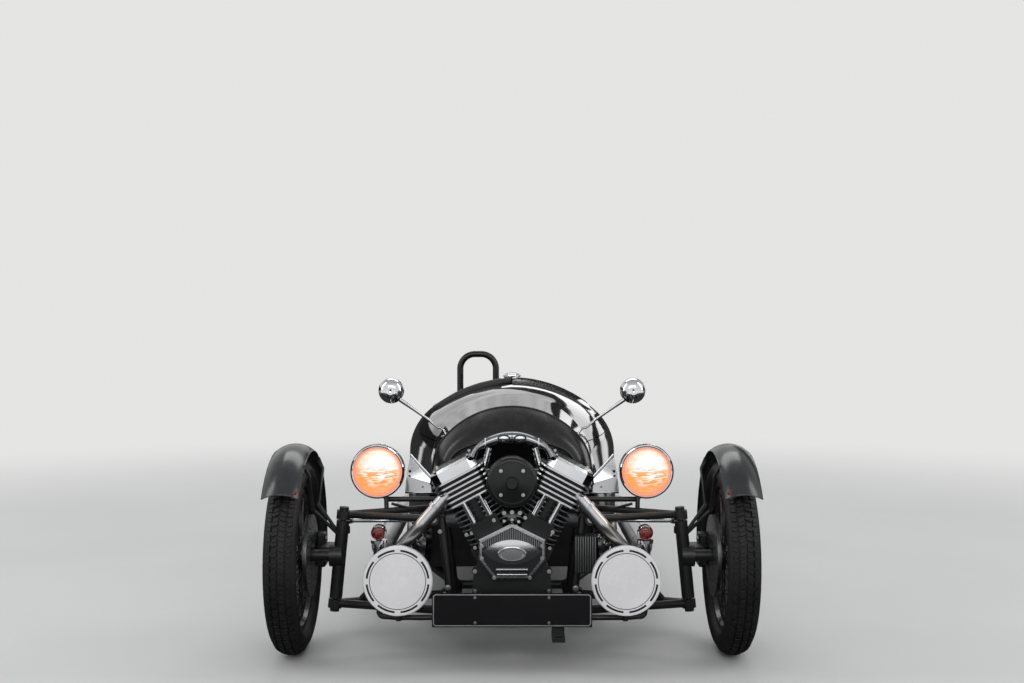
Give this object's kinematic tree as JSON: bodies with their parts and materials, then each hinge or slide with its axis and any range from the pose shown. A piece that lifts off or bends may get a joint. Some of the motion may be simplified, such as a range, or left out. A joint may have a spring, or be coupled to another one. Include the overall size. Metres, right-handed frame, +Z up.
{
  "type": "three wheeled car",
  "caption": "Open two-seat three wheeled car: two steered wire wheels in front, one driven wheel behind, open finned vee-twin engine ahead of the front axle.",
  "frame": {"origin": "centre of the bounding box's bottom face, on the ground", "axes": "-Y forwards out of the nose, +X to the car's left, +Z up"},
  "size_m": [1.676, 3.225, 0.9959],
  "materials": {
    "tyre_rubber": "matte",
    "black_paint": "gloss",
    "guard_paint": "satin",
    "frame_paint": "satin",
    "white_cover": "gloss",
    "polished_aluminium": "polished",
    "cast_aluminium": "cast",
    "black_engine": "wrinkle",
    "chrome": "polished",
    "steel": "brushed",
    "lamp_glass": "clear",
    "amber_lens": "gloss",
    "trim_leather": "grained",
    "rubber": "matte",
    "plate": "gloss"
  },
  "bodies": {
    "body": {"air_cleaner": "black_engine", "arch_bracket": "polished_aluminium", "cam_cover": "polished_aluminium", "chassis": "frame_paint", "cockpit_rim": "trim_leather", "crankcase": "black_engine", "cylinder_heads": "cast_aluminium", "cylinders": "black_engine", "dampers": "frame_paint", "dashboard": "black_paint", "drive_belt": "rubber", "exhausts": "steel", "filler_cap": "chrome", "floor_pan": "frame_paint", "front_frame": "frame_paint", "gearbox": "cast_aluminium", "headlamp_lenses": "lamp_glass", "headlamps": "black_paint", "indicators": "amber_lens", "lamp_brackets": "frame_paint", "mirrors": "chrome", "nose_cowl": "black_paint", "number_plate": "plate", "oil_cooler": "black_engine", "passenger_cover": "black_paint", "pushrod_tubes": "polished_aluminium", "rack_housing": "cast_aluminium", "rear_deck": "black_paint", "rear_hoop": "frame_paint", "rocker_covers": "polished_aluminium", "roll_hoop": "black_paint", "scuttle": "black_paint", "seat_cushions": "trim_leather", "side_fairings": "polished_aluminium", "side_panel_l": "black_paint", "side_panel_r": "black_paint", "spot_lamps": "white_cover", "swing_arm": "frame_paint", "tail": "black_paint", "tail_lamps": "amber_lens", "wishbones": "frame_paint"},
    "knuckle_l": {"front_knuckle_l": "frame_paint", "front_mudguard_l": "guard_paint"},
    "knuckle_r": {"front_knuckle_r": "frame_paint", "front_mudguard_r": "guard_paint"},
    "wheel_front_l": {"front_tyre_l": "tyre_rubber", "front_wheel_l": "frame_paint", "front_disc_l": "steel"},
    "wheel_front_r": {"front_tyre_r": "tyre_rubber", "front_wheel_r": "frame_paint", "front_disc_r": "steel"},
    "wheel_rear": {"rear_tyre": "tyre_rubber", "rear_wheel": "frame_paint"},
    "steering": {"steering_wheel": "trim_leather"},
    "rack": {"steering_rack": "steel"}
  },
  "joints": [
    {"name": "steer_r", "type": "hinge", "parent": "body", "child": "knuckle_r", "pos_m": [-0.61, -1.2775, 0.17], "axis": [0.0976, 0, 0.9952], "range_deg": [-25, 25]},
    {"name": "steer_l", "type": "hinge", "parent": "body", "child": "knuckle_l", "pos_m": [0.61, -1.2775, 0.17], "axis": [-0.0976, 0, 0.9952], "range_deg": [-25, 25]},
    {"name": "rack_slide", "type": "slide", "parent": "body", "child": "rack", "axis": [1, 0, 0], "range_m": [-0.03578, 0.03578]},
    {"name": "steering_turn", "type": "hinge", "parent": "body", "child": "steering", "pos_m": [-0.168, -0.1475, 0.69], "axis": [0, 0.9397, 0.342], "range_deg": [-350, 350]},
    {"name": "spin_front_l", "type": "hinge", "parent": "knuckle_l", "child": "wheel_front_l", "pos_m": [0.75, -1.2775, 0.335], "axis": [1, 0, 0], "continuous": true},
    {"name": "spin_front_r", "type": "hinge", "parent": "knuckle_r", "child": "wheel_front_r", "pos_m": [-0.75, -1.2775, 0.335], "axis": [1, 0, 0], "continuous": true},
    {"name": "spin_rear", "type": "hinge", "parent": "body", "child": "wheel_rear", "pos_m": [0, 1.1125, 0.311], "axis": [1, 0, 0], "continuous": true}
  ],
  "couplings": [
    {"joint": "steer_l", "follows": "steer_r", "ratio": 1},
    {"joint": "rack_slide", "follows": "steer_r", "m_per_rad": -0.082},
    {"joint": "steering_turn", "follows": "steer_r", "ratio": 14}
  ]
}
